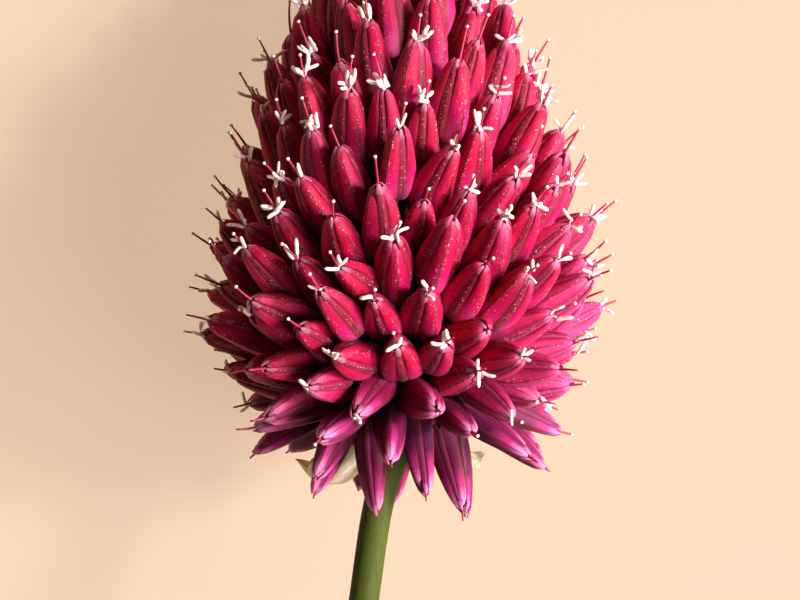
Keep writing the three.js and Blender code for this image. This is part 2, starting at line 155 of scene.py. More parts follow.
class Florets:
    """The florets' draws and places, one row each, by the part's own rule."""

    def __init__(self):
        self.state = RANDOM_SEED
        share = shares()
        rows = []
        for i in range(FLORET_COUNT):
            angle = float(np.interp((i + 0.5) / FLORET_COUNT * share[-1], share, OUTLINE_ANGLES))
            azimuth = i * GOLDEN_ANGLE
            flat = math.sin(angle)
            outward = [flat * math.cos(azimuth), flat * math.sin(azimuth), math.cos(angle)]
            drawn = [self.spread(width) for width in (REACH_SPREAD, TILT_SPREAD, TILT_SPREAD)]
            drawn += [self.spread(width) for width in (2 * math.pi, SIZE_SPREAD, STYLE_SPREAD)]
            if not meets_valve(angle, azimuth):
                rows.append(outward + drawn)
        rows = np.array(rows)
        self.outward = rows[:, :3]
        self.reach, self.tilt, self.roll = rows[:, 3], rows[:, 4:6], rows[:, 6]
        self.size, self.style = 1 + rows[:, 7], rows[:, 8]
        self.length = FLORET_LENGTH * self.size
        self.radius = FLORET_RADIUS * self.size
        for _ in range(PASSES):
            self.stand()
            self.push_apart()
        self.stand()

    def spread(self, width):
        """Park and Miller's generator, as in the part."""
        self.state = self.state * RANDOM_FACTOR % RANDOM_RANGE
        return (self.state / RANDOM_RANGE - 0.5) * width

    def stand(self):
        """Stands each bell at its direction, laid down and pressed on the surface."""
        angle = np.arccos(self.outward[:, 2].clip(-1, 1))
        hang = angle + SKIRT_DROOP * (angle - math.pi / 2).clip(0)
        flat = unit(self.outward[:, :2])
        axis = np.concatenate([flat * np.sin(hang)[:, None], np.cos(hang)[:, None]], 1)
        side, up = cross_axes(axis)
        axis = unit(axis + side * self.tilt[:, :1] + up * self.tilt[:, 1:])
        self.angle = angle
        self.tip = laid(self.outward * (reach_at(angle) + self.reach)[:, None])
        self.axis = axis @ LAY_DOWN.T
        in_bud = angle / OUTLINE_ANGLES[-1]
        self.protrusion = STYLE_LENGTH + (BUD_STYLE - STYLE_LENGTH) * in_bud + self.style
        sunk = -PRESSED - self.lowest()
        pushed = (sunk > 0) & (self.axis[:, 2] < DIPPING)
        back = np.where(pushed, sunk / np.where(pushed, self.axis[:, 2], 1), 0)
        self.tip = self.tip + self.axis * back[:, None]

    def beads(self):
        """Centres and radii of the round beads by which a bell keeps clear of the others."""
        along = (BEAD_AT - 1)[None, :, None] * self.length[:, None, None]
        return self.tip[:, None] + along * self.axis[:, None], self.radius[:, None] * BEAD_RADIUS

    def lowest(self):
        """Height of the lowest point of each bell's tip and beads."""
        centre, radius = self.beads()
        return np.minimum(self.tip[:, 2], (centre[..., 2] - radius).min(1))

    def push_apart(self):
        """Turns the directions of bells that crowd each other apart, by a share of their overlap."""
        centre, radius = self.beads()
        near = np.linalg.norm(self.tip[:, None] - self.tip[None], axis=2) <= 2 * FLORET_LENGTH
        near &= ~np.eye(len(near), dtype=bool)
        first, second = np.nonzero(near)
        apart = centre[first][:, :, None] - centre[second][:, None]
        distance = np.linalg.norm(apart, axis=3)
        overlap = (radius[first][:, :, None] + radius[second][:, None] + CLEARANCE - distance).clip(0)
        push = (apart * (overlap * EASE / distance)[..., None]).sum((1, 2))
        total = np.zeros_like(self.tip)
        np.add.at(total, first, push)
        own = total @ LAY_DOWN
        self.outward = unit(self.outward + own / reach_at(self.angle)[:, None])

    def keep(self, chosen):
        """Drops the rows of the florets that aren't chosen."""
        for name, values in vars(self).items():
            if isinstance(values, np.ndarray):
                setattr(self, name, values[chosen])

    def ring(self, share, radii):
        """Points round each axis at a share of its length, one for each radius, from its roll on."""
        side, up = cross_axes(self.axis)
        turn = self.roll[:, None] + np.arange(radii.shape[1]) / radii.shape[1] * 2 * math.pi
        centre = self.tip + self.axis * ((share - 1) * self.length)[:, None]
        across = side[:, None] * (radii * np.cos(turn))[..., None]
        return centre[:, None] + across + up[:, None] * (radii * np.sin(turn))[..., None]


def standing_florets():
    """The florets that the CAD umbel holds: it leaves out those that would touch the stalk or the spathe.

    A floret is held if at least two of the six corners of its belly are on the umbel.
    """
    florets = Florets()
    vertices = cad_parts["umbel"].data.vertices
    tree = kdtree.KDTree(len(vertices))
    for i, vertex in enumerate(vertices):
        tree.insert(vertex.co / MM, i)
    tree.balance()
    belly = florets.radius[:, None] * np.array([1, BELLY_GROOVE] * 3)
    corners = florets.ring(BELLY_AT, belly)
    held = [sorted(tree.find(corner)[2] for corner in around)[1] < SAME_CORNER for around in corners]
    florets.keep(np.array(held))
    return florets


florets = standing_florets()
COUNT = len(florets.size)
OPENED = 1 - florets.angle / OUTLINE_ANGLES[-1]  # 1 at the crown, where flowering starts, 0 at the skirt
luck = np.random.default_rng(7)


# ---- Mesh building ----

LOWEST_POINT = 0.015  # no piece reaches lower over the surface

# A region's map has one cell for each tepal, and a cell has the outer sheet, its rim and the inner sheet.
MAP_CELLS = 15  # along each side of the map
OUTER_MIDDLE, OUTER_HALF = 0.33, 0.28  # across the cell
INNER_MIDDLE, INNER_HALF = 0.82, 0.13
MAP_MIDDLE, MAP_HALF = 0.5, 0.43  # along the cell
RIM_WIDTH = 0.1  # of the rim round the outer sheet, as a share of the sheet

SLANT = [0.3, 0.5, 0.81]  # from which a tube's sides turn


class Builder:
    """Collects vertices, faces and named numbers per vertex, and makes one piece of them."""

    def __init__(self):
        self.points, self.quads, self.triangles, self.map_places = [], [], [], []
        self.numbers = {}
        self.total = 0

    def add(self, points, quads, triangles=(), map_places=None, **numbers):
        """points in millimetres, laid down; quads and triangles index into them.

        map_places has the [u, v] of each quad's corners, for a piece with its own map and no triangles.
        """
        if map_places is not None:
            self.map_places.append(map_places)
        points = np.asarray(points, float).reshape(-1, 3)
        self.points.append(points)
        if len(quads):
            self.quads.append(np.asarray(quads) + self.total)
        if len(triangles):
            self.triangles.append(np.asarray(triangles) + self.total)
        for name, values in numbers.items():
            values = np.broadcast_to(np.asarray(values, float).reshape(-1), len(points))
            self.numbers.setdefault(name, []).append(values)
        self.total += len(points)

    def piece(self, name, material, node, slot):
        """Makes the piece, which rides on the part's one body and stands for the node or a share of it."""
        points = np.concatenate(self.points)
        points[:, 2] = points[:, 2].clip(LOWEST_POINT)
        points = points * MM
        faces = [face.tolist() for faces in self.quads + self.triangles for face in faces]
        mesh = bpy.data.meshes.new(name)
        mesh.from_pydata(points.tolist(), [], faces)
        for label, values in self.numbers.items():
            layer = mesh.attributes.new(label, "FLOAT", "POINT")
            layer.data.foreach_set("value", np.concatenate(values).astype(np.float32))
        mesh.polygons.foreach_set("use_smooth", [True] * len(mesh.polygons))
        if self.map_places:
            places = np.concatenate(self.map_places).reshape(-1)
            mesh.uv_layers.new(name="OFBake").data.foreach_set("uv", places)
        mesh.materials.append(material)
        mesh.update()
        piece = bpy.data.objects.new(name, mesh)
        bpy.context.scene.collection.objects.link(piece)
        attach(piece, "root")
        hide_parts(node)


def grid_quads(rows, columns, flip=False, first=0):
    """Faces of a grid whose points run along its columns first."""
    row, column = np.meshgrid(np.arange(rows - 1), np.arange(columns - 1), indexing="ij")
    a = (first + row * columns + column).reshape(-1)
    quads = np.stack([a, a + 1, a + columns + 1, a + columns], 1)
    return quads[:, ::-1] if flip else quads


def shell_quads(rows, columns):
    """Faces of two grids, outer then inner, joined round their rim."""
    inner = rows * columns
    rim = list(range(columns)) + [r * columns + columns - 1 for r in range(1, rows)]
    rim += [(rows - 1) * columns + c for c in range(columns - 2, -1, -1)]
    rim += [r * columns for r in range(rows - 2, 0, -1)]
    after = rim[1:] + rim[:1]
    edge = [[a, a + inner, b + inner, b] for a, b in zip(rim, after)]
    return np.concatenate([
        grid_quads(rows, columns),
        grid_quads(rows, columns, flip=True, first=inner),
        np.array(edge),
    ])


def shell_map(cell, quads, along, across):
    """The [u, v] of a tepal's faces in its cell: the outer sheet ringed by the rim, and the inner one."""
    outer = np.stack([OUTER_MIDDLE + OUTER_HALF * across, MAP_MIDDLE + MAP_HALF * (2 * along - 1)], 1)
    inner = np.stack([INNER_MIDDLE + INNER_HALF * across, outer[:, 1]], 1)
    ringed = outer + (outer - [OUTER_MIDDLE, MAP_MIDDLE]) * RIM_WIDTH
    places = np.concatenate([outer, inner])[quads]
    rim = (quads < len(outer)).any(1) & (quads >= len(outer)).any(1)
    places[rim] = np.concatenate([outer, ringed])[quads[rim]]
    return (places + divmod(cell, MAP_CELLS)) / MAP_CELLS


def add_rings(builder, rings, ends, **numbers):
    """A closed body of rings joined in a row, with a fan at each end from one of the two points in ends."""
    rows, sides = rings.shape[:2]
    quads = []
    for row in range(rows - 1):
        for k in range(sides):
            a, b = row * sides + k, row * sides + (k + 1) % sides
            quads.append([a, b, b + sides, a + sides])
    low, high, last = rows * sides, rows * sides + 1, (rows - 1) * sides
    triangles = [[low, (k + 1) % sides, k] for k in range(sides)]
    triangles += [[high, last + k, last + (k + 1) % sides] for k in range(sides)]
    on_points = {}
    for name, values in numbers.items():
        values = np.broadcast_to(np.asarray(values, float), rows)
        on_points[name] = np.concatenate([np.repeat(values, sides), values[:1], values[-1:]])
    builder.add(np.concatenate([rings.reshape(-1, 3), ends]), quads, triangles, **on_points)


def tube(builder, centres, radii, sides, **numbers):
    """A round tube, closed at both ends. A number has one value, or one for each of the centres."""
    centres = np.asarray(centres, float)
    along = unit(np.gradient(centres, axis=0))
    side = unit(np.cross(along, SLANT))
    up = np.cross(along, side)
    turn = np.arange(sides) / sides * 2 * math.pi
    radii = np.broadcast_to(np.asarray(radii, float), len(centres))
    rings = centres[:, None] + radii[:, None, None] * (
        side[:, None] * np.cos(turn)[None, :, None] + up[:, None] * np.sin(turn)[None, :, None]
    )
    add_rings(builder, rings, centres[[0, -1]], **numbers)


# ---- Materials ----
# Scales of noise and cells are to the metre, except that of the streaks.

BUMP_DEPTH = 0.00004  # metres


def material(name):
    """A new material, a function that adds nodes to it and one that fills in its Principled shader."""
    made = bpy.data.materials.new(name)
    made.use_nodes = True
    tree = made.node_tree

    def fill(target, inputs):
        for socket, value in inputs.items():
            if hasattr(value, "bl_rna"):
                tree.links.new(value, target.inputs[socket])
            else:
                target.inputs[socket].default_value = value

    def node(kind, inputs=None, **settings):
        new = tree.nodes.new("ShaderNode" + kind)
        for key, value in settings.items():
            setattr(new, key, value)
        fill(new, inputs or {})
        return new

    def finish(inputs):
        fill(tree.nodes["Principled BSDF"], inputs)

    return made, node, finish


def ramp(node, factor, stops):
    """A colour ramp of [position, linear colour] stops."""
    made = node("ValToRGB", {0: factor})
    elements = made.color_ramp.elements
    for _ in range(len(stops) - 2):
        elements.new(0.5)
    for element, (position, colour) in zip(elements, stops):
        element.position = position
        element.color = (*colour, 1)
    return made.outputs[0]


def maths(node, operation, *values):
    """The outcome of one operation on numbers or on outputs of nodes."""
    return node("Math", dict(enumerate(values)), operation=operation).outputs[0]


def mix(node, factor, one, other, blend="MIX"):
    """One colour where the factor is 0, and the other, or their blend, where it is 1."""
    return node("Mix", {0: factor, 6: one, 7: other}, data_type="RGBA", blend_type=blend).outputs[2]


def remap(node, value, low, high, at_low=0.0, at_high=1.0):
    """Runs evenly from at_low, where the value is low or less, to at_high, where it is high or more."""
    return node("MapRange", {0: value, 1: low, 2: high, 3: at_low, 4: at_high}).outputs[0]


def noise(node, place, scale, detail=3.0, roughness=0.5):
    """Cloudy noise about 0.5."""
    inputs = {"Vector": place, "Scale": scale, "Detail": detail, "Roughness": roughness}
    return node("TexNoise", inputs).outputs[0]


def bump(node, height, strength):
    """A normal that stands for relief of BUMP_DEPTH."""
    return node("Bump", {"Height": height, "Distance": BUMP_DEPTH, "Strength": strength}).outputs[0]


def number(node, name):
    """A number that the mesh has on its vertices."""
    return node("Attribute", attribute_name=name).outputs["Fac"]


def object_place(node):
    """The place in the object's own frame, in metres."""
    return node("TexCoord").outputs["Object"]


def rgb(*colour):
    """A linear colour as sockets take it."""
    return (*colour, 1)


# Across a tepal, 0 is the keel and 1 the margin.
WAVER_SCALE = 1400.0  # of what makes the margin's and the keel's edges uneven
# Painted shade towards the margins, where the grooves between tepals are: its waver, and where across it
# starts and is full.
MARGIN_WAVER, MARGIN_FROM, MARGIN_TO = 0.5, 0.45, 1.02
KEEL_WAVER, KEEL_TO, KEEL_FADES = 0.16, 0.02, 0.11
KEEL_SHADE, KEEL_FAINT = 0.9, 0.45  # how strong the keel's colour is, and its share of that at the base
KEEL_STARTS, KEEL_WHOLE = 0.02, 0.3  # along the tepal
STREAKS_ACROSS, STREAKS_ALONG, STREAKS_APART, STREAK_SCALE = 9.0, 1.6, 40.0, 1.6
GRAIN_SCALE = 9000.0
STREAK_SHADES, GRAIN_SHADES = (0.3, 0.72, 0.78, 1.2), (0.3, 0.7, 0.78, 1.22)  # noise from, to, shades there
# Pale papillae along the keel, brightened into painted glints.
PAPILLAE = ((5500.0, 0.55, 0.70), (9000.0, 0.3, 0.5))  # scale, reach across, and luck that a cell needs
DOT_FULL, DOT_FADES = 0.14, 0.38  # of a cell
PAPILLAE_NEAR, PAPILLAE_STRAY = 0.3, 0.06  # the share of their reach that is full, and what is beyond it
PAPILLAE_START, PAPILLAE_WHOLE = 0.08, 0.4  # along the tepal
RELIEF_OF_STREAKS = 0.7
# Painted light: the paler pink that florets facing the lamps at the right are mixed towards.
PAINTED_LIGHT_COLOUR = rgb(0.76, 0.09, 0.30)
# The papillae's pale pink, brightened into a painted glint.
PAPILLA_GLINT_COLOUR = rgb(0.95, 0.42, 0.55)


def papillae(node, place, off):
    """Bright dots in two sizes, pale papillae partly painted as glints, which thin out away from the keel.
    off is the distance from the keel.
    """
    sizes = []
    for scale, reach, least_luck in PAPILLAE:
        cells = node("TexVoronoi", {"Vector": place, "Scale": scale})
        dot = remap(node, cells.outputs["Distance"], DOT_FULL, DOT_FADES, 1.0, 0.0)
        luck_of_cell = node("SeparateColor", {0: cells.outputs["Color"]}).outputs[0]
        bright = remap(node, luck_of_cell, least_luck, 1.0)
        near = remap(node, off, reach * PAPILLAE_NEAR, reach, 1.0, PAPILLAE_STRAY)
        sizes.append(maths(node, "MULTIPLY", maths(node, "MULTIPLY", dot, near), bright))
    return maths(node, "MAXIMUM", *sizes)


def tepal_material(name, pink, violet, margin_colour, keel_colour, margin_depth):
    """Petal tissue: lengthwise shades, fine streaks, a dark keel and pale papillae along it painted as
    glints, with painted shade towards the margins, painted shade and lit tips on violet buds, and painted
    light on florets facing the lamps.
    """
    made, node, finish = material(name)
    along, across = number(node, "along"), number(node, "across")
    tone = number(node, "tone")
    off = maths(node, "ABSOLUTE", across)
    place = object_place(node)
    # Towards tone 1 the colour turns violet: partly its own hue, partly painted shade low on the bell, with
    # a painted lit tip.
    colour = mix(node, tone, ramp(node, along, pink), ramp(node, along, violet))
    # Painted light: a paler pink on florets that face the lamps at the right.
    colour = mix(node, number(node, "blush"), colour, PAINTED_LIGHT_COLOUR)

    waver = maths(node, "SUBTRACT", noise(node, place, WAVER_SCALE), 0.5)
    # Painted shade: the colour darkens towards the margins, where the grooves between tepals are.
    edge = maths(node, "ADD", off, maths(node, "MULTIPLY", waver, MARGIN_WAVER))
    edge = remap(node, edge, MARGIN_FROM, MARGIN_TO, 0.0, margin_depth)
    colour = mix(node, edge, colour, rgb(*margin_colour))

    lines = node("CombineXYZ", {
        0: maths(node, "MULTIPLY", across, STREAKS_ACROSS),
        1: maths(node, "MULTIPLY", along, STREAKS_ALONG),
        2: maths(node, "MULTIPLY", tone, STREAKS_APART),
    }).outputs[0]
    streak = remap(node, noise(node, lines, STREAK_SCALE, roughness=0.6), *STREAK_SHADES)
    grain = remap(node, noise(node, place, GRAIN_SCALE, roughness=0.7), *GRAIN_SHADES)
    shade = maths(node, "MULTIPLY", streak, grain)
    grey = node("CombineColor", {0: shade, 1: shade, 2: shade}).outputs[0]
    colour = mix(node, 1.0, colour, grey, "MULTIPLY")

    line = maths(node, "ADD", off, maths(node, "MULTIPLY", waver, KEEL_WAVER))
    keel = remap(node, line, KEEL_TO, KEEL_FADES, KEEL_SHADE, 0.0)
    rising = remap(node, along, KEEL_STARTS, KEEL_WHOLE, KEEL_FAINT, 1.0)
    colour = mix(node, maths(node, "MULTIPLY", keel, rising), colour, rgb(*keel_colour))

    # Pale papillae with painted glints, on pink tepals only and fading in from the base.
    papilla_glint = maths(node, "MULTIPLY", papillae(node, place, off), maths(node, "SUBTRACT", 1.0, tone))
    papilla_glint = maths(node, "MULTIPLY", papilla_glint, remap(node, along, PAPILLAE_START, PAPILLAE_WHOLE))
    height = maths(node, "ADD", maths(node, "MULTIPLY", shade, RELIEF_OF_STREAKS), papilla_glint)
    finish({
        "Base Color": mix(node, papilla_glint, colour, PAPILLA_GLINT_COLOUR),
        "Normal": bump(node, height, 0.8),
        "Roughness": 0.5,
        "Specular IOR Level": 0.17,
        "Sheen Weight": 0.03,
        "Sheen Roughness": 0.45,
        "Sheen Tint": (1.0, 0.45, 0.7, 1),
        "Subsurface Weight": 0.35,
        "Subsurface Radius": (1.0, 0.12, 0.5),
        "Subsurface Scale": 0.0006,
    })
    return made


def plain_tissue(name, low, high, scale, roughness, stretch=(1, 1, 1), inner_light=0.2, spread=(1, 1, 0.5)):
    """Tissue of two mingled shades. inner_light and spread set how light travels inside it.

    Returns the material, the functions that add nodes and fill in the shader, and the mingled colour.
    """
    made, node, finish = material(name)
    place = node("Mapping", {"Vector": object_place(node), "Scale": stretch}).outputs[0]
    grain = noise(node, place, scale, detail=4.0, roughness=0.6)
    colour = mix(node, remap(node, grain, 0.35, 0.68), rgb(*low), rgb(*high))
    finish({
        "Base Color": colour,
        "Normal": bump(node, grain, 0.5),
        "Roughness": roughness,
        "Subsurface Weight": inner_light,
        "Subsurface Radius": spread,
        "Subsurface Scale": 0.0005,
    })
    return made, node, finish, colour


def pedicel_material():
    """Olive at the root and brownish red under the bell, and paler and greener on the skirt's buds."""
    made, node, finish, grain = plain_tissue(
        "pedicel", (0.8, 0.8, 0.8), (1.15, 1.1, 1.05), scale=2500.0, roughness=0.5, spread=(0.6, 0.8, 0.3))
    along = number(node, "along")
    olive = ramp(node, along, [
        (0.0, (0.15, 0.16, 0.035)), (0.35, (0.14, 0.07, 0.02)),
        (0.75, (0.17, 0.03, 0.02)), (1.0, (0.22, 0.02, 0.03)),
    ])
    pale = ramp(node, along, [
        (0.0, (0.30, 0.36, 0.12)), (0.6, (0.40, 0.42, 0.18)), (1.0, (0.30, 0.12, 0.10)),
    ])
    colour = mix(node, number(node, "tone"), olive, pale)
    finish({"Base Color": mix(node, 1.0, colour, grain, "MULTIPLY")})
    return made


# The stalk's number "along" runs up to SKIN_ENDS on its skin, and is 1 on the cut.
SKIN_ENDS, CUT_STARTS, CUT_WHOLE = 0.9, 0.93, 0.98


def scape_material():
    """Smooth green skin with faint lengthwise shades, and a pale cut face."""
    made, node, finish, colour = plain_tissue(
        "scape", (0.040, 0.058, 0.002), (0.058, 0.080, 0.004), scale=900.0, roughness=0.7,
        stretch=(3.5, 0.3, 3.5), inner_light=0.1, spread=(0.4, 0.8, 0.2))
    cut = remap(node, number(node, "along"), CUT_STARTS, CUT_WHOLE)
    finish({"Base Color": mix(node, cut, colour, rgb(0.45, 0.52, 0.22)), "Specular IOR Level": 0.2})
    return made


VALVE_VEINS = 7  # on each side of the midrib, in turn on a crest and in a trough of the pleats


def spathe_material():
    """Dry translucent paper with olive veins, paler between them and browner at its beak and margins."""
    made, node, finish, colour = plain_tissue(
        "spathe", (0.62, 0.49, 0.27), (0.90, 0.79, 0.56), scale=800.0, roughness=0.42,
        inner_light=0.6, spread=(1, 0.8, 0.5))
    along, across = number(node, "along"), number(node, "across")
    wave = maths(node, "SINE", maths(node, "MULTIPLY", across, math.pi * VALVE_VEINS))
    vein = remap(node, maths(node, "ABSOLUTE", wave), 0.0, 0.35, 0.6, 0.0)
    colour = mix(node, vein, colour, rgb(0.30, 0.24, 0.08))
    margin = maths(node, "POWER", maths(node, "ABSOLUTE", across), 8.0)
    rim = maths(node, "MAXIMUM", margin, maths(node, "POWER", along, 6.0))
    colour = mix(node, maths(node, "MULTIPLY", rim, 0.7), colour, rgb(0.34, 0.18, 0.07))
    finish({"Base Color": colour})
    return made


OUTER = tepal_material(
    "outer_tepal",
    pink=[
        (0.0, (0.30, 0.040, 0.06)), (0.12, (0.64, 0.050, 0.20)), (0.38, (0.56, 0.006, 0.105)),
        (0.65, (0.50, 0.002, 0.044)), (0.96, (0.52, 0.003, 0.050)), (1.0, (0.78, 0.12, 0.24)),
    ],
    # Violet whose dark middle is partly painted shade from the bells above, and whose pale pink tip is
    # painted light.
    violet=[
        (0.0, (0.12, 0.03, 0.05)), (0.12, (0.09, 0.012, 0.045)), (0.38, (0.050, 0.004, 0.028)),
        (0.58, (0.065, 0.003, 0.030)), (0.80, (0.44, 0.022, 0.16)), (1.0, (0.90, 0.30, 0.52)),
    ],
    # Painted shade of the grooves at the margins, and the dark keel.
    margin_colour=(0.12, 0.002, 0.005), keel_colour=(0.12, 0.020, 0.008), margin_depth=0.8,
)
# The inner tepals' darker crimson is partly their own colour and partly painted shade of the grooves they
# sit in.
INNER = tepal_material(
    "inner_tepal",
    pink=[
        (0.0, (0.24, 0.04, 0.05)), (0.5, (0.22, 0.006, 0.02)),
        (0.9, (0.28, 0.008, 0.04)), (1.0, (0.75, 0.26, 0.34)),
    ],
    # Violet whose dark middle is partly painted shade from the bells above, and whose pale pink tip is
    # painted light.
    violet=[
        (0.0, (0.16, 0.03, 0.06)), (0.5, (0.12, 0.006, 0.04)),
        (0.9, (0.20, 0.010, 0.08)), (1.0, (0.70, 0.26, 0.40)),
    ],
    # Painted shade of the grooves at the margins, and the dark keel.
    margin_colour=(0.10, 0.004, 0.008), keel_colour=(0.05, 0.010, 0.006), margin_depth=0.5,
)
ANTHER = plain_tissue("anther", (0.91, 0.70, 0.59), (1.0, 0.92, 0.84), scale=5000.0, roughness=0.6)[0]
FILAMENT = plain_tissue("filament", (0.72, 0.28, 0.42), (0.85, 0.55, 0.62), scale=3000.0, roughness=0.45)[0]
STYLE = plain_tissue("style", (0.26, 0.008, 0.03), (0.40, 0.02, 0.06), scale=3000.0, roughness=0.5)[0]
PEDICEL = pedicel_material()
SCAPE = scape_material()
SPATHE = spathe_material()


# ---- How each floret differs ----

BUD_FROM, BUD_OVER = 92, 24  # degrees from the crown where florets turn to buds, and over which they do
# Where the bells turn violet, with painted shade low on the bell and painted light at the tip.
DUSK_FROM, DUSK_OVER = 84, 26  # the same for where they turn violet
BUD_STRETCH = 0.8  # the skirt's slim buds reach further down
CLOSED_MOUTH, OPENING, MOUTH_LUCK = 0.16, 0.14, 0.05
PLUMPEST, BUD_SLIMNESS = 1.05, 0.25
BOW_LUCK, SQUASH_LUCK = 0.10, 0.03
LEAST_TONE, TONE_LUCK, DUSK_TONE, DUSK_POWER = 0.05, 0.09, 0.9, 1.3
# Painted light on florets that face the lamps at the right: where it starts and is full, by how far a
# floret faces right, and its random strength.
PAINTED_LIGHT_FROM, PAINTED_LIGHT_OVER = 0.55, 0.45  # of how far a floret faces right
PAINTED_LIGHT_LUCK = (0.3, 0.65)

LOW = ((np.degrees(florets.angle) - BUD_FROM) / BUD_OVER).clip(0, 1)  # 1 on the drooping skirt
# Share of violet, with its painted shade and lit tip, by the angle from the crown.
VIOLET_AND_PAINTED_LIGHT = ((np.degrees(florets.angle) - DUSK_FROM) / DUSK_OVER).clip(0, 1)
STRETCH = BUD_STRETCH * LOW
florets.tip = florets.tip + florets.axis * STRETCH[:, None]
florets.length = florets.length + STRETCH
PLUMPNESS = PLUMPEST - BUD_SLIMNESS * LOW
# How far the tepals' tips stand off the axis.
MOUTH_OPEN = CLOSED_MOUTH + OPENING * OPENED + MOUTH_LUCK * luck.random(COUNT)
BEND = luck.normal(0, BOW_LUCK, (COUNT, 2))  # sideways bow of a bell at its middle
SQUASH = 1 + luck.normal(0, SQUASH_LUCK, COUNT)
# 0 is pink and 1 violet, which is darkened with painted shade low on the bell and has a painted lit tip.
TONE = (LEAST_TONE + luck.normal(0, TONE_LUCK, COUNT) + DUSK_TONE * VIOLET_AND_PAINTED_LIGHT ** DUSK_POWER).clip(0, 1)
# Painted light: florets that face the lamps at the right are mixed towards a paler pink, as if lit through.
PAINTED_LIGHT = ((florets.outward[:, 0] - PAINTED_LIGHT_FROM) / PAINTED_LIGHT_OVER).clip(0, 1) * (1 - LOW)
PAINTED_LIGHT = PAINTED_LIGHT * luck.uniform(*PAINTED_LIGHT_LUCK, COUNT)


# ---- Tepals ----

BASE_FULLNESS, SIDE_FULLNESS = 0.60, 0.56  # powers of the bell's outline: less is fuller
KEEL_CROWDING = 1.5  # columns stand closer at the keel
BASE_RADIUS, LEAST_RADIUS = 0.22, 0.03
KEEL_RIDGE, KEEL_ANGLE = 0.045, 0.09  # height, and half width in radians
MARGIN_THICKNESS, KEEL_THICKNESS, THICK_OVER = 0.05, 0.05, 0.35  # the keel's is on top of the margin's
INNERMOST = 0.01  # least radius of a tepal's inner sheet
TEPAL_LUCK = 0.02
PRESS_FROM, PRESS_SHARE = 0.03, 0.02  # the height where flattening starts, and what it leaves of a depth


class TepalKind(NamedTuple):
    """What sets a bell's outer or inner tepals. Shares along it are 0 at its base and 1 at its tips."""

    rows: np.ndarray  # shares along the tepal where its mesh has a row
    columns: int
    half_angles: tuple  # shares along it, and the degrees that it reaches each side of its keel there
    girth: float  # share of the bell's radius
    opening: float  # share of the mouth's opening
    reach: float  # share of the bell's length
    lobe: float  # how far its flanks are drawn in
    turned: float  # thirds of a turn from the bell's roll


OUTER_KIND = TepalKind(
    rows=np.array([0, 0.03, 0.08, 0.15, 0.24, 0.34, 0.45, 0.56, 0.67, 0.77, 0.86, 0.93, 1.0]),
    columns=11,
    half_angles=([0, 0.25, 0.6, 0.85, 0.95, 1], [60, 57, 48, 40, 42, 22]),
    girth=1.0,
    opening=1.0,
    reach=1.0,
    lobe=0.25,
    turned=0.0,
)
INNER_KIND = TepalKind(
    rows=np.array([0, 0.1, 0.25, 0.4, 0.55, 0.7, 0.82, 0.92, 1.0]),
    columns=5,
    half_angles=([0, 0.3, 0.7, 0.92, 1], [40, 42, 38, 34, 24]),
    girth=0.82,
    opening=0.7,
    reach=1.03,
    lobe=0.10,
    turned=0.5,
)


def fullness(t):
    """Radius of a closed bell along its length, as a share of its widest."""
    return np.sin(math.pi * np.clip(t, 0, 1) ** BASE_FULLNESS).clip(0) ** SIDE_FULLNESS


def bell_point(i, t, turn, radius):
    """Points of floret i at shares t of its length, laid down, off its axis at a turn from its roll."""
    side, up = cross_axes(florets.axis[i])
    bow = np.sin(math.pi * np.clip(t, 0, 1))
    x = radius * np.cos(turn + florets.roll[i]) * SQUASH[i] + BEND[i, 0] * bow
    y = radius * np.sin(turn + florets.roll[i]) / SQUASH[i] + BEND[i, 1] * bow
    centre = florets.tip[i] + florets.axis[i] * ((t - 1) * florets.length[i])[..., None]
    return centre + side * x[..., None] + up * y[..., None]


def rest_on_surface(points):
    """What would reach under the surface is flattened on it."""
    points = points.copy()
    height = points[..., 2]
    pressed = PRESS_FROM + PRESS_SHARE * (height - PRESS_FROM).clip(-1, 0)
    points[..., 2] = np.where(height < PRESS_FROM, pressed, height)
    return points


def add_tepals(builder, i, place, kind):
    """Three tepals of floret i, each a thin closed shell. place is i's place in the piece."""
    t = kind.rows[:, None]
    across = np.linspace(-1, 1, kind.columns)[None]
    across = np.sign(across) * np.abs(across) ** KEEL_CROWDING
    offset = across * np.radians(np.interp(kind.rows, *kind.half_angles))[:, None]
    girth = kind.girth * florets.radius[i] * PLUMPNESS[i]
    opening = kind.opening * MOUTH_OPEN[i]
    radius = girth * fullness(t) * (1 - kind.lobe * (1 - np.cos(3 * offset)) / 2)
    radius = radius + BASE_RADIUS * (1 - t) ** 8 + opening * t ** 4 + LEAST_RADIUS
    ridge = np.exp(-((offset / KEEL_ANGLE) ** 2))
    radius = radius + KEEL_RIDGE * ridge * np.sin(math.pi * t).clip(0) ** 0.5
    thickness = MARGIN_THICKNESS + KEEL_THICKNESS * np.exp(-((across / THICK_OVER) ** 2))
    along = np.broadcast_to(t, radius.shape).reshape(-1)
    sideways = np.broadcast_to(across, radius.shape).reshape(-1)
    quads = shell_quads(len(kind.rows), kind.columns)
    for k in range(3):
        twist, _, longer = luck.normal(0, TEPAL_LUCK, 3)  # the middle one is spare
        share = np.broadcast_to(t * (kind.reach + longer), radius.shape)
        turn = (k + kind.turned) * 2 * math.pi / 3 + offset + twist
        outer = bell_point(i, share, turn, radius)
        inner = bell_point(i, share, turn, (radius - thickness).clip(INNERMOST))
        points = rest_on_surface(np.concatenate([outer.reshape(-1, 3), inner.reshape(-1, 3)]))
        places = shell_map(3 * place + k, quads, along, sideways)
        # The vertices carry the floret's tone and its painted light, which the material reads.
        builder.add(points, quads, map_places=places,
                    along=np.tile(along, 2), across=np.tile(sideways, 2), tone=TONE[i], blush=PAINTED_LIGHT[i])


